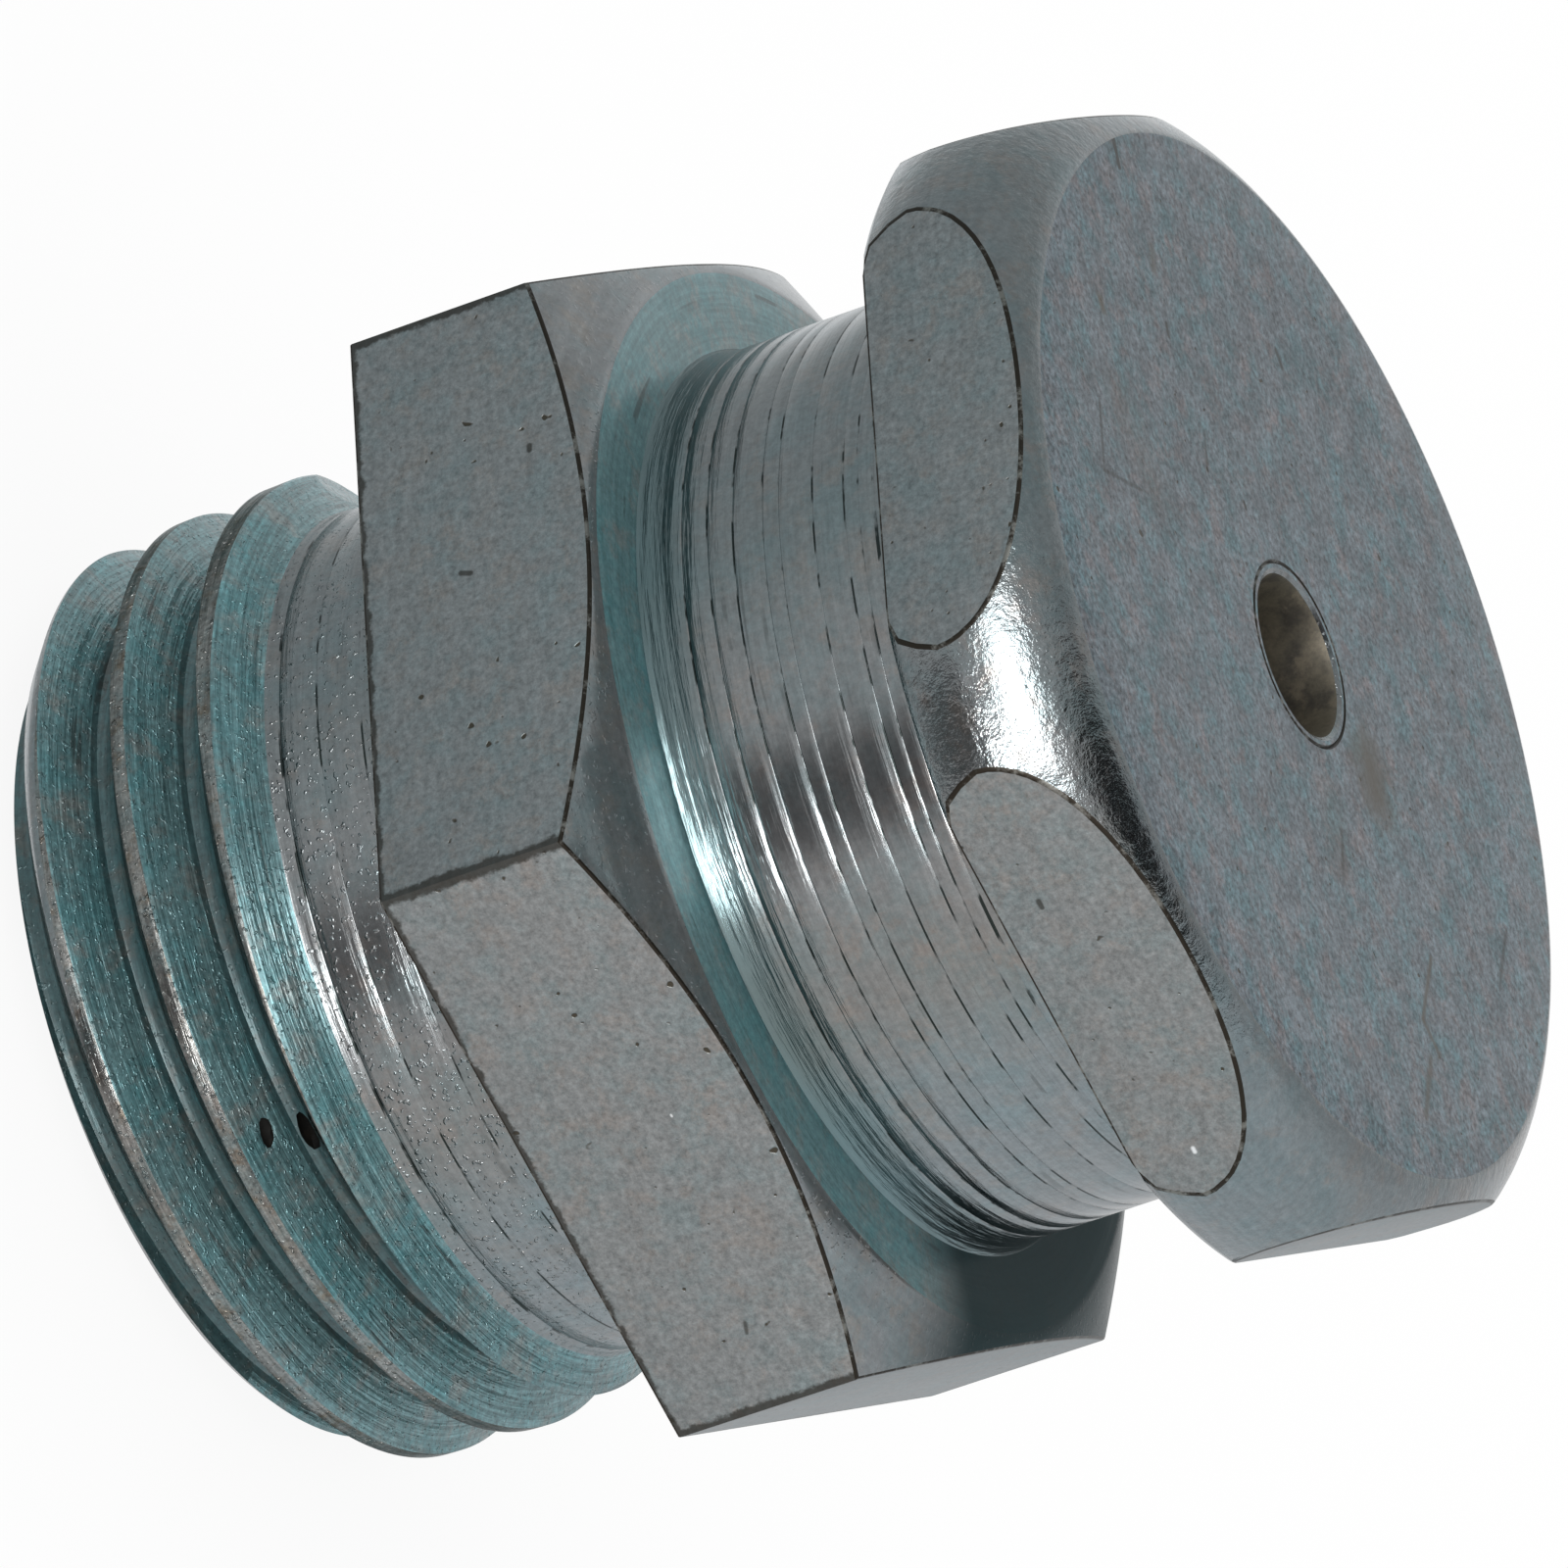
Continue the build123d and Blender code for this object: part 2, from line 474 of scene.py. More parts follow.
def wire_spring():
    """The spring's round wire, drawn as a curve through its coils and turned into a mesh."""
    curve = bpy.data.curves.new("spring_wire", "CURVE")
    curve.dimensions = "3D"
    curve.bevel_depth = WIRE_RADIUS * MM
    curve.bevel_resolution = 3
    curve.use_fill_caps = True
    line = curve.splines.new("NURBS")
    line.points.add(SPRING_COILS * POINTS_PER_COIL)
    for index, point in enumerate(line.points):
        turn = index / POINTS_PER_COIL
        angle = 2 * pi * turn
        place = (SPRING_RADIUS * cos(angle), SPRING_RADIUS * sin(angle), coil_height(turn))
        point.co = (*[c * MM for c in place], 1)
    line.order_u = 3
    line.use_endpoint_u = True
    line.resolution_u = 2
    obj = bpy.data.objects.new("spring_coils", curve)
    bpy.context.collection.objects.link(obj)
    only(obj)
    bpy.ops.object.convert(target="MESH")
    bpy.ops.object.shade_smooth()
    return obj


# ---------------------------------------------------------------- finishes


class Nodes:
    """Adds and links nodes in one material or node group."""

    def __init__(self, tree):
        self.tree = tree

    def add(self, kind, **settings):
        """Adds a node with its settings."""
        made = self.tree.nodes.new("ShaderNode" + kind)
        for name, value in settings.items():
            setattr(made, name, value)
        return made

    def put(self, value, socket):
        """Links a node's output, or sets a plain value."""
        if isinstance(value, bpy.types.NodeSocket):
            self.tree.links.new(value, socket)
        elif hasattr(socket.default_value, "__len__") and len(socket.default_value) == 4:
            socket.default_value = (*value[:3], 1)
        else:
            socket.default_value = value

    def math(self, operation, *values, clamp=False):
        """A sum, product or other operation on values."""
        made = self.add("Math", operation=operation, use_clamp=clamp)
        for value, socket in zip(values, made.inputs):
            self.put(value, socket)
        return made.outputs[0]

    def ramp(self, value, low, high, out_low=0.0, out_high=1.0):
        """Maps a value smoothly from one range to another."""
        made = self.add("MapRange", interpolation_type="SMOOTHSTEP")
        for given, name in zip(
            (value, low, high, out_low, out_high),
            ("Value", "From Min", "From Max", "To Min", "To Max"),
        ):
            self.put(given, made.inputs[name])
        return made.outputs[0]

    def mix(self, factor, a, b, blend="MIX"):
        """Mixes two colours."""
        made = self.add("Mix", data_type="RGBA", blend_type=blend)
        self.put(factor, made.inputs[0])
        self.put(a, made.inputs[6])
        self.put(b, made.inputs[7])
        return made.outputs[2]

    def hypot(self, x, y):
        """Length of the flat vector (x, y)."""
        squares = [self.math("MULTIPLY", side, side) for side in (x, y)]
        return self.math("SQRT", self.math("ADD", *squares))

    def azimuth(self, x, y):
        """Angle round the axis, from the front at -Y towards +X."""
        return self.math("ARCTAN2", x, self.math("MULTIPLY", y, -1.0))

    def vector(self, operation, a, b):
        """An operation on two vectors."""
        made = self.add("VectorMath", operation=operation)
        self.put(a, made.inputs[0])
        self.put(b, made.inputs[1])
        return made.outputs["Value" if operation == "DOT_PRODUCT" else "Vector"]

    def scaled(self, vector, factor):
        """A vector times a factor."""
        made = self.add("VectorMath", operation="SCALE")
        self.put(vector, made.inputs[0])
        self.put(factor, made.inputs["Scale"])
        return made.outputs[0]

    def split(self, vector):
        """The x, y and z of a vector."""
        made = self.add("SeparateXYZ")
        self.put(vector, made.inputs[0])
        return made.outputs

    def join(self, *values):
        """A vector from its x, y and z."""
        made = self.add("CombineXYZ")
        for value, socket in zip(values, made.inputs):
            self.put(value, socket)
        return made.outputs[0]

    def place(self):
        """Object coordinates, in metres."""
        return self.add("TexCoord").outputs["Object"]

    def place_mm(self):
        """Object coordinates, in mm."""
        return self.scaled(self.place(), PER_METRE)

    def noise(self, vector, scale, detail=2.0, rough=0.5):
        """Soft noise between 0 and 1."""
        made = self.add("TexNoise")
        self.put(vector, made.inputs["Vector"])
        made.inputs["Scale"].default_value = scale
        made.inputs["Detail"].default_value = detail
        made.inputs["Roughness"].default_value = rough
        return made.outputs["Fac"]


def group(name, inputs, outputs):
    """A shader node group with named sockets."""
    tree = bpy.data.node_groups.new(name, "ShaderNodeTree")
    for label, kind, default in inputs:
        socket = tree.interface.new_socket(label, in_out="INPUT", socket_type=kind)
        socket.default_value = default
    for label, kind in outputs:
        tree.interface.new_socket(label, in_out="OUTPUT", socket_type=kind)
    given = tree.nodes.new("NodeGroupInput")
    result = tree.nodes.new("NodeGroupOutput")
    return tree, Nodes(tree), given.outputs, result.inputs


FLOAT, COLOR, VECTOR = "NodeSocketFloat", "NodeSocketColor", "NodeSocketVector"


def turning_group():
    """Rings left by turning: their height, fine streaks, short dashes and thin dark lines."""
    tree, n, given, result = group(
        "turning_marks",
        [("Radial Share", FLOAT, 0.0)],
        [("Height", FLOAT), ("Streak", FLOAT), ("Dashes", FLOAT), ("Lines", FLOAT)],
    )
    x, y, z = n.split(n.place())
    radius = n.hypot(x, y)
    safe = n.math("MAXIMUM", radius, 1e-5)
    along = n.math("ADD", z, n.math("MULTIPLY", radius, given["Radial Share"]))
    along = n.math("MULTIPLY", along, PER_METRE)

    def ringed(around, lengthwise):
        """Coordinates that change little round the axis, so that noise in them makes rings."""
        sides = [n.math("MULTIPLY", n.math("DIVIDE", side, safe), around) for side in (x, y)]
        return n.join(*sides, lengthwise)

    rings = ringed(0.30, along)
    coarse = n.noise(rings, 5.0, 2.0, 0.6)
    fine = n.noise(rings, 14.0, 3.0, 0.7)
    dashes = n.noise(ringed(9.0, n.math("MULTIPLY", along, 3.0)), 1.0, 3.0, 0.6)
    thin = n.ramp(n.noise(ringed(0.25, along), 8.0, 1.0, 0.5), 0.66, 0.72)
    n.put(n.math("ADD", coarse, n.math("MULTIPLY", fine, 0.5)), result["Height"])
    n.put(fine, result["Streak"])
    n.put(dashes, result["Dashes"])
    n.put(n.math("MULTIPLY", thin, n.ramp(dashes, 0.46, 0.58)), result["Lines"])
    return tree


def grain_group():
    """Fine slanting grain on drawn faces, with small pits."""
    tree, n, _, result = group(
        "drawn_grain", [], [("Height", FLOAT), ("Grain", FLOAT), ("Pits", FLOAT)]
    )
    slanted = n.add("Mapping")
    n.put(n.place(), slanted.inputs["Vector"])
    slanted.inputs["Rotation"].default_value = (0.35, 0.55, 0.2)
    slanted.inputs["Scale"].default_value = (PER_METRE, PER_METRE, 5.2 * PER_METRE)
    grain = n.noise(slanted.outputs[0], 1.6, 3.0, 0.6)
    pits = n.ramp(n.noise(n.place_mm(), 6.0, 1.0, 0.5), 0.73, 0.79)
    n.put(grain, result["Grain"])
    n.put(pits, result["Pits"])
    n.put(n.math("SUBTRACT", grain, n.math("MULTIPLY", pits, 2.0)), result["Height"])
    return tree


def mottle_group():
    """Soft patches between a base tone, a cool tone and a warm tone, as on old plating."""
    tree, n, given, result = group(
        "plating_mottle",
        [
            ("Base", COLOR, (0.174, 0.184, 0.187, 1)),
            ("Cool", COLOR, (0.156, 0.184, 0.190, 1)),
            ("Warm", COLOR, (0.186, 0.180, 0.174, 1)),
            ("Scale", FLOAT, 1.0),
            ("Speckle", FLOAT, 0.10),
        ],
        [("Color", COLOR)],
    )
    spread = n.scaled(n.place(), n.math("MULTIPLY", given["Scale"], PER_METRE))
    moved = n.vector("ADD", spread, (31.0, 17.0, 5.0))
    cool = n.ramp(n.noise(spread, 1.1, 5.0, 0.7), 0.42, 0.66)
    warm = n.ramp(n.noise(moved, 1.7, 5.0, 0.7), 0.48, 0.70)
    color = n.mix(cool, given["Base"], given["Cool"])
    color = n.mix(warm, color, given["Warm"])
    speck = n.math("SUBTRACT", n.noise(spread, 9.0, 3.0, 0.8), 0.5)
    speck = n.math("MULTIPLY_ADD", n.math("MULTIPLY", speck, given["Speckle"]), 8.0, 1.0)
    n.put(n.mix(1.0, color, speck, "MULTIPLY"), result["Color"])
    return tree


def scratch_group():
    """A short scratch or mark from one point to another, in mm, fading at its edges."""
    tree, n, given, result = group(
        "scratch",
        [
            ("From", VECTOR, (0, 0, 0)),
            ("To", VECTOR, (1, 0, 0)),
            ("Width", FLOAT, 0.05),
            ("Softness", FLOAT, 0.5),
        ],
        [("Mask", FLOAT)],
    )
    place = n.place_mm()
    waver = n.noise(place, 3.0, 3.0, 0.6)
    ahead = n.vector("SUBTRACT", place, given["From"])
    whole = n.vector("SUBTRACT", given["To"], given["From"])
    dots = [n.vector("DOT_PRODUCT", other, whole) for other in (ahead, whole)]
    share = n.math("DIVIDE", *dots, clamp=True)
    gap = n.add("VectorMath", operation="LENGTH")
    n.put(n.vector("SUBTRACT", ahead, n.scaled(whole, share)), gap.inputs[0])
    reach = n.math("MULTIPLY", given["Width"], n.math("MULTIPLY_ADD", waver, 1.8, 0.1))
    inner = n.math("MULTIPLY", reach, n.math("SUBTRACT", 1.0, given["Softness"]))
    n.put(n.ramp(gap.outputs["Value"], inner, reach, 1.0, 0.0), result["Mask"])
    return tree


GROUPS = {
    "turning": turning_group(),
    "grain": grain_group(),
    "mottle": mottle_group(),
    "scratch": scratch_group(),
}


def metal(name, roughness, anisotropic=0.0, metallic=1.0):
    """A plain metal to build a finish on. Returns its material, nodes and shader."""
    material = bpy.data.materials.new(name)
    material.use_nodes = True
    n = Nodes(material.node_tree)
    shader = material.node_tree.nodes["Principled BSDF"]
    shader.inputs["Metallic"].default_value = metallic
    shader.inputs["Roughness"].default_value = roughness
    shader.inputs["Anisotropic"].default_value = anisotropic
    if anisotropic:
        tangent = n.add("Tangent", direction_type="RADIAL", axis="Z")
        n.put(tangent.outputs[0], shader.inputs["Tangent"])
    return material, n, shader


def use(n, key, **values):
    """Places a node group with its own values and returns its outputs."""
    made = n.add("Group")
    made.node_tree = GROUPS[key]
    for name, value in values.items():
        n.put(value, made.inputs[name.replace("_", " ")])
    return made.outputs


def bump(n, shader, height, distance, worn=0.0):
    """Raises a finish by a height map. Worn is the radius, in mm, of its rubbed edges."""
    made = n.add("Bump")
    if worn:
        rubbed = n.add("Bevel", samples=6)
        rubbed.inputs["Radius"].default_value = worn * MM
        n.put(rubbed.outputs[0], made.inputs["Normal"])
    made.inputs["Distance"].default_value = distance * MM
    n.put(height, made.inputs["Height"])
    n.put(made.outputs[0], shader.inputs["Normal"])


# Tones, in linear red, green and blue
RESIDUE = (0.03, 0.035, 0.033)
LINE_RESIDUE = (0.022, 0.028, 0.027)
# Painted shade for one side of the collar and the head's back
PAINTED_SHADE_TONE = (0.014, 0.030, 0.033)
# Painted shade in the corner at the neck's foot
FOOT_SHADE_TONE = (0.104, 0.150, 0.156)
PIT_TONE = (0.05, 0.045, 0.035)
SOOT = (0.030, 0.028, 0.024)
RUST = (0.085, 0.075, 0.060)
BRIGHT = (0.75, 0.78, 0.80)

# Plating in the sheltered places is teal and looks less like bare metal. The teal is partly the
# plating's own tint and partly painted shade.
SHELTERED = {
    "Base": (0.122, 0.228, 0.242),
    "Cool": (0.090, 0.222, 0.240),
    "Warm": (0.180, 0.215, 0.212),
}
SHELTERED_METALLIC = 0.30

# Direction from the axis to the middle of the collar's painted shade
PAINTED_SHADE_SIDE = (0.951, 0.309)


def plated(
    n, shader, marks, streak, height,
    foot=None, lines=0.5, painted_shade=False, burrs=0.0, worn=0.0, **tones,
):
    """Plating tones under turning marks.

    streak is how much the marks lighten and darken the tone, and height their height in mm.
    foot is a rougher band in a tone of painted shade: heights in mm where it starts, where its
    tone ends and where its roughness ends, and the tone.
    lines is the strength of the dark lines; the next flag paints shade on one side of the collar.
    burrs is the height of fine specks beside that of the marks, and worn goes to the bump.
    """
    rise = marks["Height"]
    if burrs:
        specks = n.ramp(n.noise(n.place_mm(), 13.0, 1.0, 0.5), 0.60, 0.74)
        rise = n.math("ADD", rise, n.math("MULTIPLY", specks, burrs))
    color = use(n, "mottle", **tones)["Color"]
    x, y, z = n.split(n.place())
    if foot:
        low, tone_end, rough_end, tone = foot
        # Painted shade: the foot's darker tone fades out up the neck
        color = n.mix(n.ramp(z, low * MM, tone_end * MM, 0.9, 0.0), color, tone)
        rise = n.math("MULTIPLY", rise, n.ramp(z, low * MM, rough_end * MM, 4.0, 1.0))
    shade = n.ramp(marks["Streak"], 0.30, 0.70, 1 - streak, 1 + streak)
    color = n.mix(1.0, color, shade, "MULTIPLY")
    color = n.mix(n.math("MULTIPLY", marks["Lines"], lines), color, RESIDUE)
    # Painted shade: one side of the collar and the head's back goes dark and loses gloss
    if painted_shade:
        parts = [n.math("MULTIPLY", side, share) for side, share in zip((x, y), PAINTED_SHADE_SIDE)]
        facing = n.math("DIVIDE", n.math("ADD", *parts), n.hypot(x, y))
        share = n.ramp(facing, 0.66, 0.86, 0.0, 0.97)
        share = n.math("MULTIPLY", share, n.ramp(z, 1.2 * MM, 2.4 * MM))
        color = n.mix(share, color, PAINTED_SHADE_TONE)
        undarkened = n.math("SUBTRACT", 1.0, share)
        for socket in (shader.inputs["Metallic"], shader.inputs["Specular IOR Level"]):
            n.put(n.math("MULTIPLY", undarkened, socket.default_value), socket)
    n.put(color, shader.inputs["Base Color"])
    bump(n, shader, rise, height, worn)


def blemish(n, color, marks, tone):
    """Adds marks to a colour: each has two ends, width, softness and strength."""
    for start, end, width, softness, strength in marks:
        mark = use(n, "scratch", From=start, To=end, Width=width, Softness=softness)
        color = n.mix(n.math("MULTIPLY", mark["Mask"], strength), color, tone)
    return color


def on_face(marks):
    """Puts marks that are placed by x and y on the head's face."""
    return [((*start, HEAD_FACE), (*end, HEAD_FACE), *rest) for start, end, *rest in marks]


def mottled(name, roughness, metallic=1.0, **tones):
    """A smooth finish with mottled tones only. Returns its material and shader."""
    material, n, shader = metal(name, roughness, metallic=metallic)
    n.put(use(n, "mottle", **tones)["Color"], shader.inputs["Base Color"])
    return material, shader


def turned_finish():
    """Plain turned plating."""
    material, n, shader = metal("turned_plating", 0.24, anisotropic=0.5)
    plated(n, shader, use(n, "turning"), streak=0.08, height=0.014, lines=0.25, burrs=0.8)
    return material


def chamfer_finish():
    """The cone between the collar's flats and its face, with painted shade on one side."""
    material, n, shader = metal("chamfer_plating", 0.20, metallic=0.6)
    tones = {
        "Base": (0.190, 0.200, 0.204),
        "Cool": (0.160, 0.195, 0.202),
        "Warm": (0.205, 0.196, 0.185),
    }
    marks = use(n, "turning", Radial_Share=1.0)
    plated(
        n, shader, marks, streak=0.12, height=0.005, lines=0.3, painted_shade=True, burrs=0.6, **tones
    )
    return material


def neck_finish():
    """The turned neck, rough at its foot and darker teal there as painted shade in its corner."""
    material, n, shader = metal("neck_plating", 0.18, anisotropic=0.5)
    foot = (COLLAR_TOP, 4.5, 4.9, FOOT_SHADE_TONE)
    plated(n, shader, use(n, "turning"), streak=0.08, height=0.008, foot=foot, lines=0.35)
    return material


def ring_finish():
    """The sheltered faces of the collar and the head, teal in part as painted shade."""
    material, n, shader = metal("sheltered_plating", 0.24, 0.3, SHELTERED_METALLIC)
    marks = use(n, "turning", Radial_Share=1.0)
    plated(
        n, shader, marks, streak=0.16, height=0.005, lines=0.6, painted_shade=True,
        Speckle=0.16, **SHELTERED,
    )
    return material


def crown_finish():
    """The polished crown of the head, slightly rippled."""
    material, n, shader = metal("crown_plating", 0.14)
    marks = use(n, "turning", Radial_Share=1.0)
    tones = {
        "Base": (0.156, 0.170, 0.174),
        "Cool": (0.140, 0.168, 0.174),
        "Warm": (0.172, 0.166, 0.160),
    }
    color = use(n, "mottle", **tones)["Color"]
    shade = n.ramp(marks["Streak"], 0.30, 0.70, 0.93, 1.07)
    n.put(n.mix(1.0, color, shade, "MULTIPLY"), shader.inputs["Base Color"])
    ripples = n.noise(n.place_mm(), 5.0, 4.0, 0.7)
    rise = n.math("ADD", ripples, n.math("MULTIPLY", marks["Height"], 0.2))
    bump(n, shader, rise, 0.018)
    return material


def line_finish():
    """Dark residue that comes and goes along the tool lines."""
    material, n, shader = metal("tool_line", 0.25)
    dark = n.ramp(use(n, "turning")["Dashes"], 0.47, 0.58)
    color = n.mix(dark, use(n, "mottle")["Color"], LINE_RESIDUE)
    n.put(color, shader.inputs["Base Color"])
    return material


# Scratches and smudges on the head's face: from and to by x and y, width, softness, strength
FACE_SCRATCHES = [
    ((-7.17, -1.02), (-6.73, -1.12), 0.07, 0.5, 0.9),
    ((-4.57, -1.15), (-4.40, -1.20), 0.06, 0.7, 0.8),
    ((-4.15, 2.46), (-3.92, 2.49), 0.08, 0.8, 0.8),
    ((-2.10, -0.33), (-2.03, -0.33), 0.06, 0.5, 0.9),
    ((-3.55, -4.29), (-2.63, -4.84), 0.05, 0.7, 0.6),
    ((-2.63, -4.84), (-2.34, -3.76), 0.05, 0.7, 0.5),
    ((-3.09, -0.96), (-2.56, -1.27), 0.05, 0.7, 0.6),
    ((3.98, 4.39), (4.76, 3.49), 0.07, 0.9, 0.6),
    ((2.40, -0.40), (3.10, -0.90), 0.07, 0.9, 0.5),
]
FACE_SMUDGES = [
    ((1.55, 1.30), (1.95, 1.20), 0.85, 1.0, 0.9),
    ((2.00, -0.50), (2.90, -0.80), 0.60, 1.0, 0.25),
    ((-4.93, -3.18), (-4.80, -3.20), 0.14, 0.9, 0.9),
    ((-5.61, -0.85), (-5.30, -1.00), 0.18, 1.0, 0.6),
    ((4.23, 1.37), (5.03, 0.43), 0.08, 0.9, 0.8),
    ((5.03, 0.43), (5.51, 0.62), 0.09, 0.9, 0.8),
    ((5.56, 0.29), (6.32, -0.52), 0.10, 0.9, 0.7),
    ((-3.60, -3.60), (-2.40, -3.30), 0.80, 1.0, 0.25),
]

# Spots on the flats: from, to, width, softness, strength
FLAT_SPOTS = [
    ((-3.94, -6.38, 1.46), (-3.90, -6.41, 1.60), 0.05, 0.6, 0.8),
    ((-5.31, -5.59, 2.57), (-5.25, -5.63, 2.57), 0.05, 0.6, 0.8),
    ((3.77, -6.48, -0.82), (3.80, -6.46, -0.82), 0.07, 0.5, 0.9),
    ((6.38, -4.97, 1.65), (6.52, -4.90, 1.60), 0.05, 0.8, 0.7),
    ((2.58, -7.17, 8.17), (2.66, -7.12, 8.17), 0.06, 0.6, 0.8),
]
BRIGHT_SPOTS = [
    ((3.63, -6.56, 2.17), (3.65, -6.55, 2.17), 0.03, 0.8, 0.6),
    ((6.07, -5.16, 8.42), (6.12, -5.13, 8.42), 0.04, 0.8, 0.7),
]


def edge_dirt(n):
    """Mask of residue in an uneven line along the corners of the collar and its lower edge."""
    place = n.place_mm()
    x, y, z = n.split(place)
    turn = n.math("PINGPONG", n.azimuth(x, y), pi / 6)
    nearest = n.math("MINIMUM", n.math("MULTIPLY", turn, CORNER_RADIUS), n.math("ABSOLUTE", z))
    waver = n.math("MULTIPLY_ADD", n.noise(place, 4.0, 4.0, 0.7), 0.24, -0.03)
    return n.ramp(n.math("SUBTRACT", nearest, waver), -0.03, 0.03, 0.85, 0.0)


def flat_finish():
    """The drawn flats of the bar, with grain, pits and a few spots."""
    material, n, shader = metal("drawn_flat_plating", 0.42)
    grain = use(n, "grain")
    color = use(n, "mottle", Scale=1.2, Speckle=0.18)["Color"]
    color = n.mix(1.0, color, n.ramp(grain["Grain"], 0.3, 0.7, 0.94, 1.06), "MULTIPLY")
    color = n.mix(grain["Pits"], color, PIT_TONE)
    color = n.mix(edge_dirt(n), color, SOOT)
    color = blemish(n, color, FLAT_SPOTS, SOOT)
    n.put(blemish(n, color, BRIGHT_SPOTS, BRIGHT), shader.inputs["Base Color"])
    bump(n, shader, grain["Height"], 0.004)
    return material


def face_finish():
    """The head's blue-grey face, lighter towards +X as painted light, scratched and smudged."""
    material, n, shader = metal("faced_plating", 0.38)
    grain = use(n, "grain")
    marks = use(n, "turning", Radial_Share=1.0)
    tones = {
        "Base": (0.124, 0.146, 0.163),
        "Cool": (0.088, 0.148, 0.166),
        "Warm": (0.146, 0.136, 0.142),
    }
    color = use(n, "mottle", Scale=1.3, Speckle=0.42, **tones)["Color"]
    shade = n.ramp(grain["Grain"], 0.3, 0.7, 0.82, 1.14)
    # Painted light: the face grows lighter towards +X
    across = n.split(n.place())[0]
    shade = n.math("MULTIPLY", shade, n.ramp(across, -7 * MM, 7 * MM, 0.96, 1.15))
    color = n.mix(1.0, color, shade, "MULTIPLY")
    color = n.mix(grain["Pits"], color, PIT_TONE)
    color = blemish(n, color, on_face(FACE_SMUDGES), RUST)
    color = blemish(n, color, on_face(FACE_SCRATCHES), SOOT)
    n.put(color, shader.inputs["Base Color"])
    bump(n, shader, n.math("ADD", grain["Height"], marks["Height"]), 0.003)
    return material


def groove_finish():
    """The sides of the thread groove, rough from the tool, teal in part as painted shade."""
    material, n, shader = metal("thread_plating", 0.22, 0.3, SHELTERED_METALLIC)
    marks = use(n, "turning", Radial_Share=-1.0)
    plated(
        n, shader, marks, streak=0.30, height=0.034, lines=0.7, burrs=0.5, worn=0.12,
        Speckle=0.25, **SHELTERED,
    )
    return material


def root_finish():
    """The floor of the thread groove, darker with residue."""
    material, n, shader = metal("thread_root", 0.35, anisotropic=0.3, metallic=0.2)
    tones = {
        "Base": (0.050, 0.100, 0.106),
        "Cool": (0.040, 0.098, 0.106),
        "Warm": (0.080, 0.095, 0.090),
    }
    plated(
        n, shader, use(n, "turning"), streak=0.25, height=0.014, lines=0.8, burrs=0.5,
        Speckle=0.2, **tones,
    )
    return material


def pit_finish():
    """Black grime in the dents."""
    tones = {
        "Base": (0.010, 0.010, 0.009),
        "Cool": (0.006, 0.007, 0.007),
        "Warm": (0.022, 0.019, 0.014),
    }
    material, shader = mottled("pit_grime", 0.7, metallic=0.0, Scale=2.0, **tones)
    shader.inputs["Specular IOR Level"].default_value = 0.1
    return material


def crest_finish():
    """The worn crests of the thread, grey and brown."""
    material, n, shader = metal("thread_crest", 0.20, anisotropic=0.4)
    shader.inputs["Specular Tint"].default_value = (0.35, 0.38, 0.38, 1)
    tones = {
        "Base": (0.170, 0.172, 0.165),
        "Cool": (0.130, 0.155, 0.155),
        "Warm": (0.125, 0.108, 0.088),
    }
    plated(
        n, shader, use(n, "turning"), streak=0.30, height=0.036, lines=0.9, burrs=0.8, worn=0.12,
        Scale=1.6, Speckle=0.25, **tones,
    )
    return material


def edge_finish():
    """Worn edges of the flats, with dark residue in places."""
    material, n, shader = metal("worn_edge", 0.40)
    undarkened = n.ramp(n.noise(n.place_mm(), 2.2, 5.0, 0.75), 0.50, 0.64)
    color = n.mix(undarkened, (0.024, 0.021, 0.017), (0.135, 0.135, 0.125))
    n.put(color, shader.inputs["Base Color"])
    return material


def bore_finish():
    """Brown grime in the mouth and the bore."""
    tones = {
        "Base": (0.10, 0.088, 0.062),
        "Cool": (0.045, 0.040, 0.032),
        "Warm": (0.14, 0.12, 0.085),
    }
    return mottled("bore_grime", 0.55, metallic=0.4, Scale=1.5, **tones)[0]


def ball_finish():
    """The valve ball's polished steel."""
    tones = {"Base": (0.20, 0.19, 0.17), "Cool": (0.15, 0.15, 0.14), "Warm": (0.12, 0.105, 0.08)}
    return mottled("polished_ball", 0.18, Scale=1.5, **tones)[0]


def wire_finish():
    """The spring's drawn wire."""
    tones = {"Base": (0.16, 0.15, 0.14), "Cool": (0.13, 0.14, 0.14), "Warm": (0.10, 0.092, 0.080)}
    return mottled("spring_steel", 0.35, Scale=2.0, **tones)[0]


# ---------------------------------------------------------------- the pieces

# The body's finishes: a face's material index is its finish's place in this list
finishes = [
    make()
    for make in (
        turned_finish, flat_finish, face_finish, groove_finish, edge_finish, bore_finish,
        crest_finish, neck_finish, ring_finish, crown_finish, line_finish, root_finish,
        pit_finish, chamfer_finish,
    )
]
(
    TURNED, FLAT, FACE, GROOVE, EDGE, BORE,
    CREST, NECK, RING, CROWN, LINE, ROOT,
    PIT, CHAMFER,
) = range(len(finishes))

# Bands of the turned surface: finish, lowest and highest, innermost and outermost
BANDS = [
    (NECK, COLLAR_TOP + 0.01, HEAD_BACK - 0.01, 5.9, 6.7),
    (RING, COLLAR_TOP - 0.01, COLLAR_TOP + 0.01, 6.2, 7.38),
    (RING, -0.01, 0.01, 6.0, 8.7),
    (RING, HEAD_BACK - 0.01, HEAD_BACK + 0.01, 6.3, 8.2),
    (GROOVE, -2.84, -2.36, 5.9, 6.6),
    (CROWN, 7.6, HEAD_FACE - 0.001, FACE_RADIUS - 0.04, 8.4),
    (CHAMFER, 2.2, COLLAR_TOP - 0.01, 7.3, 8.8),
]


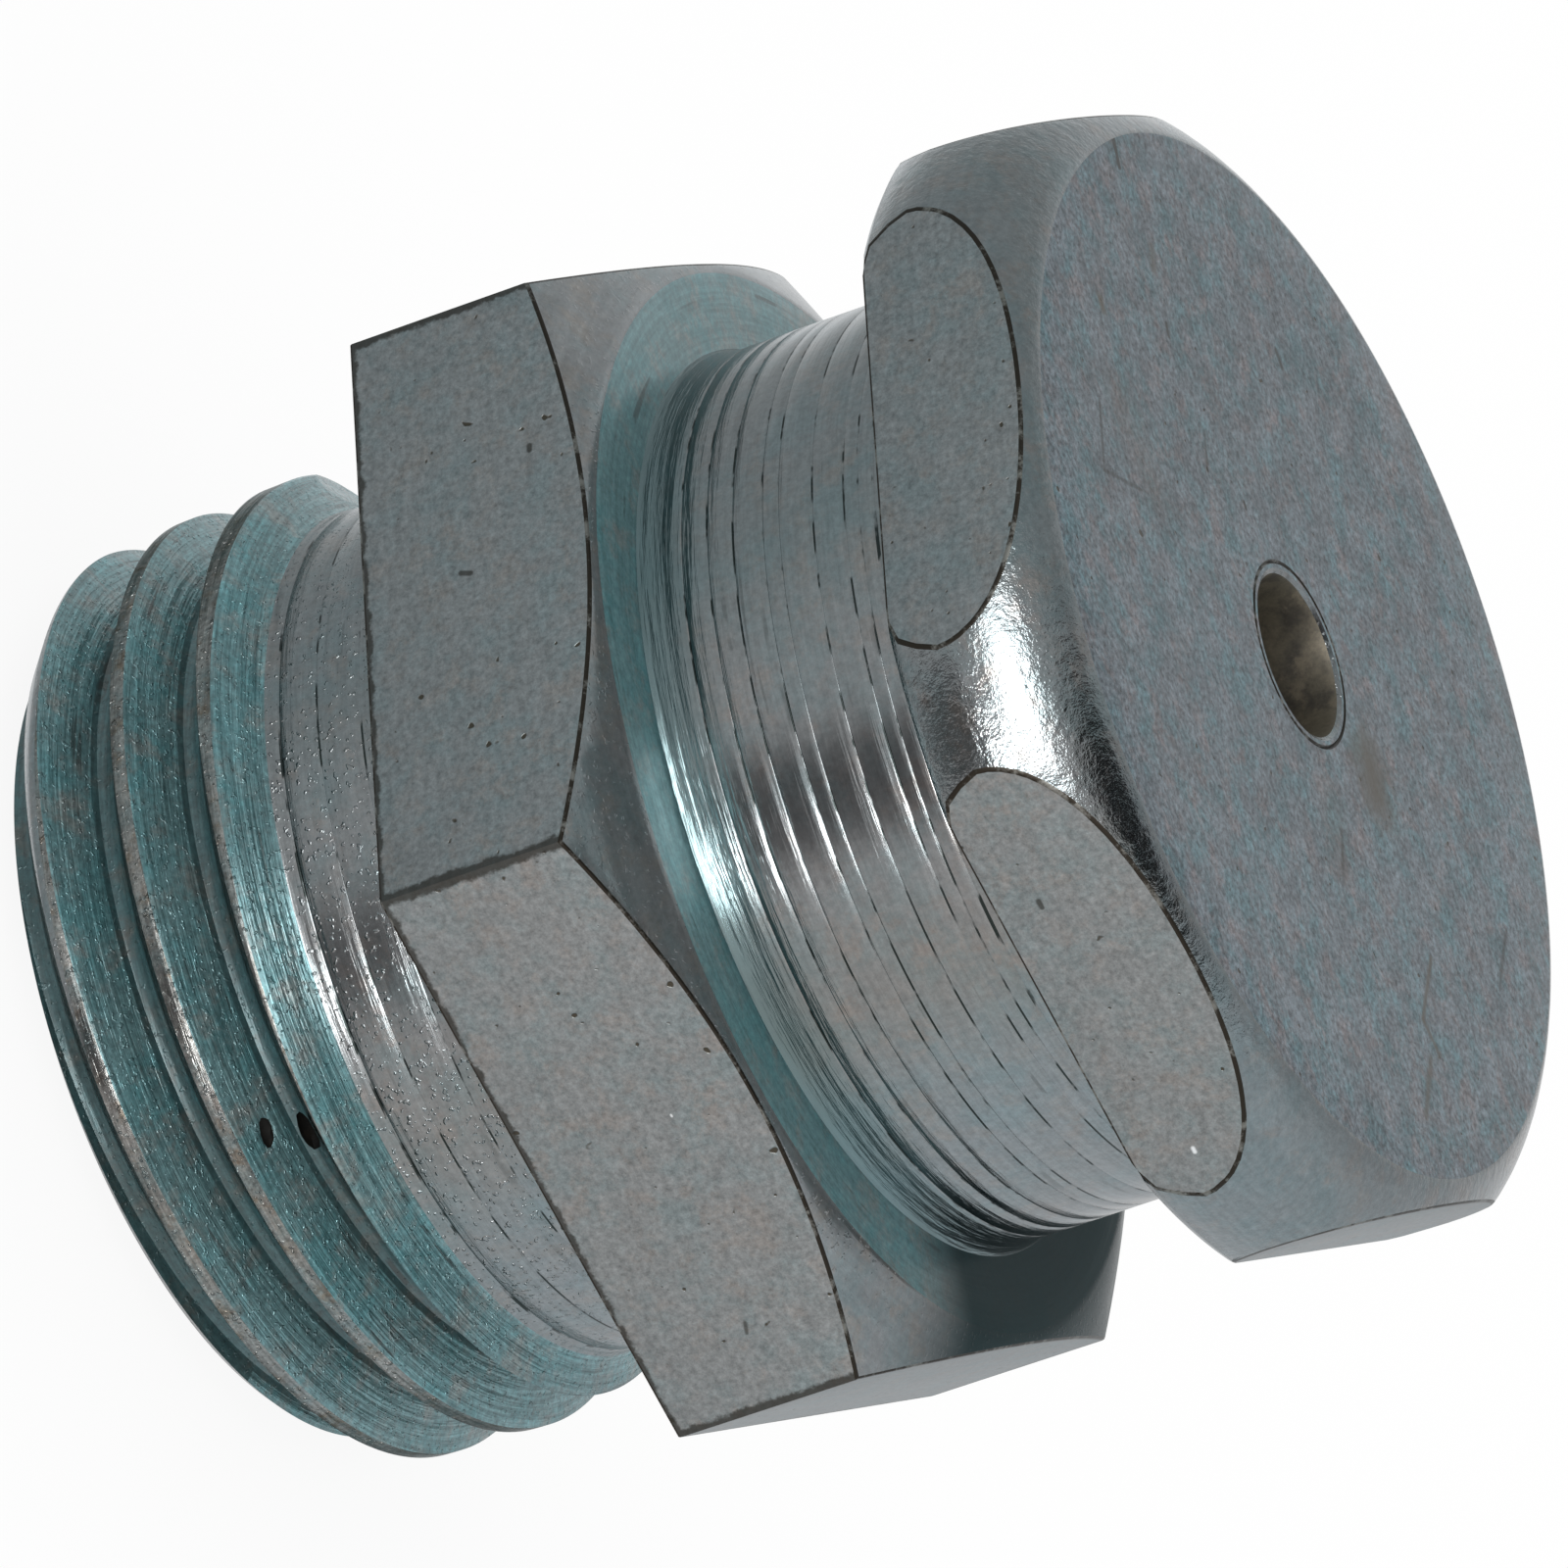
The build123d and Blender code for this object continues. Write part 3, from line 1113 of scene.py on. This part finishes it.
def paint_blank(obj):
    """Gives the turned blank's faces their finishes."""
    paint_faces(obj, FLAT, lambda f: abs(f.normal.z) < 0.001 and f.area > 4 * MM**2)
    for index, *limits in BANDS:
        paint_faces(obj, index, lambda f: on_band(f, *limits))
    paint_faces(
        obj,
        EDGE,
        lambda f: 1.24 < reach_of(f) < 1.32
        and height_of(f) > HEAD_FACE - 0.04
        and f.normal.z < 0.95,
    )
    paint_faces(obj, LINE, in_tool_line)
    paint_faces(obj, FACE, lambda f: f.normal.z > 0.99 and height_of(f) > HEAD_FACE - 0.05)
    paint_faces(
        obj,
        BORE,
        lambda f: reach_of(f) < BORE_RADIUS + 0.1
        and FREE_END + 0.01 < height_of(f) < HEAD_FACE - 0.06,
    )


skin = turn_body()
for finish in finishes:
    skin.data.materials.append(finish)
cut_flats(skin)
round_flat_edges(skin, EDGE_BREAK)
paint_blank(skin)
cut_away(skin, groove_tool(), "Thread")
strike_dents(skin)
paint_faces(skin, CREST, on_crest)
paint_faces(skin, CREST, lambda f: f.material_index == GROOVE and f.normal.z < -0.2)
paint_faces(skin, ROOT, in_root)
only(skin)
bpy.ops.object.shade_smooth_by_angle(angle=radians(30))
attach(skin, "nipple")
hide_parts("nipple_body")

spring = wire_spring()
spring.data.materials.append(wire_finish())
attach(spring, "nipple")
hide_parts("valve_spring")
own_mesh(spring)

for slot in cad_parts["valve_ball"].material_slots:
    slot.material = ball_finish()

# ---------------------------------------------------------------- floor, light and camera


def pale_floor():
    """A matt floor that looks nearly white to the camera and leaves out the reflections."""
    bpy.ops.object.select_all(action="DESELECT")
    bpy.ops.mesh.primitive_plane_add(size=3.0, location=(0, 0, FREE_END * MM))
    floor = bpy.context.object
    floor.name = "floor"
    bpy.ops.object.transform_apply(location=True)
    floor.visible_glossy = False
    material = bpy.data.materials.new("pale_floor")
    material.use_nodes = True
    n = Nodes(material.node_tree)
    shader = material.node_tree.nodes["Principled BSDF"]
    shader.inputs["Base Color"].default_value = (0.97, 0.97, 0.97, 1)
    shader.inputs["Roughness"].default_value = 1.0
    shader.inputs["Specular IOR Level"].default_value = 0.0
    white = n.add("Emission")
    blend = n.add("MixShader")
    n.put(n.math("MULTIPLY", n.add("LightPath").outputs["Is Camera Ray"], 0.9), blend.inputs[0])
    n.put(shader.outputs[0], blend.inputs[1])
    n.put(white.outputs[0], blend.inputs[2])
    n.put(blend.outputs[0], material.node_tree.nodes["Material Output"].inputs["Surface"])
    floor.data.materials.append(material)


LAMP_DISTANCE = 0.5


def softbox(name, azimuth, elevation, width, height, power):
    """A soft lamp that faces the nipple. Azimuth 0 is in front, at -Y, and grows towards +X."""
    a, e = radians(azimuth), radians(elevation)
    place = Vector((sin(a) * cos(e), -cos(a) * cos(e), sin(e))) * LAMP_DISTANCE
    light = bpy.data.lights.new(name, "AREA")
    light.shape = "RECTANGLE"
    light.size, light.size_y = width, height
    light.energy = power
    lamp = bpy.data.objects.new(name, light)
    lamp.location = place
    lamp.rotation_euler = (-place).to_track_quat("-Z", "Y").to_euler()
    lamp.visible_diffuse = False
    bpy.context.collection.objects.link(lamp)


# Tones of the room round the nipple: azimuth in degrees, then red, green and blue
ROOM = [
    (-180, 0.80, 0.80, 0.80), (-160, 1.00, 1.03, 1.05), (-128, 0.66, 0.70, 0.71),
    (-100, 0.70, 0.75, 0.77), (-65, 0.70, 0.79, 0.81), (-37, 0.99, 1.01, 1.02),
    (15, 1.25, 1.20, 1.20), (55, 1.24, 1.17, 1.12), (80, 1.22, 1.32, 1.36),
    (107, 1.22, 1.30, 1.36), (125, 1.12, 1.18, 1.22), (155, 0.80, 0.83, 0.86),
    (180, 0.80, 0.80, 0.80),
]

# The room's dark places: a doorway low in front, with the azimuths and the heights between which
# it fades, and an oval opening overhead
DOORWAY_SIDES = (radians(8), radians(20))
DOORWAY_TOP = (-0.22, -0.10)
OPENING_MIDDLE = (0.19, -0.06)
OPENING_HALF_SIZES = (0.29, 0.38)


def surroundings():
    """White surroundings for sight, and a room of soft tones round it for reflections."""
    world = bpy.data.worlds.new("studio")
    bpy.context.scene.world = world
    world.use_nodes = True
    n = Nodes(world.node_tree)
    background = world.node_tree.nodes["Background"]
    x, y, z = n.split(n.add("TexCoord").outputs["Generated"])
    azimuth = n.azimuth(x, y)
    room = n.add("ValToRGB")
    n.put(n.math("MULTIPLY_ADD", azimuth, 0.5 / pi, 0.5), room.inputs[0])
    stops = room.color_ramp.elements
    while len(stops) < len(ROOM):
        stops.new(0.5)
    for stop, (degrees, *tone) in zip(stops, ROOM):
        stop.position = degrees / 360 + 0.5
        stop.color = (*tone, 1)
    doorway = n.math(
        "MULTIPLY",
        n.ramp(n.math("ABSOLUTE", azimuth), *DOORWAY_SIDES, 1, 0),
        n.ramp(z, *DOORWAY_TOP, 1, 0),
    )
    sides = [
        n.math("DIVIDE", n.math("SUBTRACT", side, middle), half)
        for side, middle, half in zip((x, y), OPENING_MIDDLE, OPENING_HALF_SIZES)
    ]
    inside = n.ramp(n.hypot(*sides), 0.55, 1.3, 1, 0)
    opening = n.math("MULTIPLY", inside, n.math("GREATER_THAN", z, 0.0))
    shades = [
        n.math("MULTIPLY_ADD", doorway, -0.75, 1.0),
        n.math("MULTIPLY_ADD", opening, -0.97, 1.0),
    ]
    reflected = n.mix(1.0, room.outputs[0], n.math("MULTIPLY", *shades), "MULTIPLY")
    path = n.add("LightPath").outputs
    mirrored = n.math("MAXIMUM", path["Is Glossy Ray"], path["Is Transmission Ray"])
    n.put(n.mix(mirrored, (1, 1, 1), reflected), background.inputs["Color"])


def aim_camera():
    """Camera in front and above, on its side, so that the axis lies across a square image."""
    camera = bpy.data.cameras.new("camera")
    camera.lens = 450
    camera.sensor_width = 36
    camera.clip_start, camera.clip_end = 0.02, 10
    obj = bpy.data.objects.new("camera", camera)
    turn = Matrix(
        (
            (0.28818, -0.95368, 0.08632),
            (0.38651, 0.03338, -0.92168),
            (0.8761, 0.29897, 0.37823),
        )
    )
    obj.matrix_world = Matrix.Translation((0.021844, -0.239434, 0.100583)) @ turn.to_4x4()
    bpy.context.collection.objects.link(obj)
    bpy.context.scene.camera = obj


pale_floor()
surroundings()
softbox("low_window", azimuth=10, elevation=6, width=0.10, height=0.10, power=0.9)
softbox("front_window", azimuth=-5, elevation=32, width=0.28, height=0.25, power=2.2)
aim_camera()
bpy.context.scene.view_settings.view_transform = "Standard"
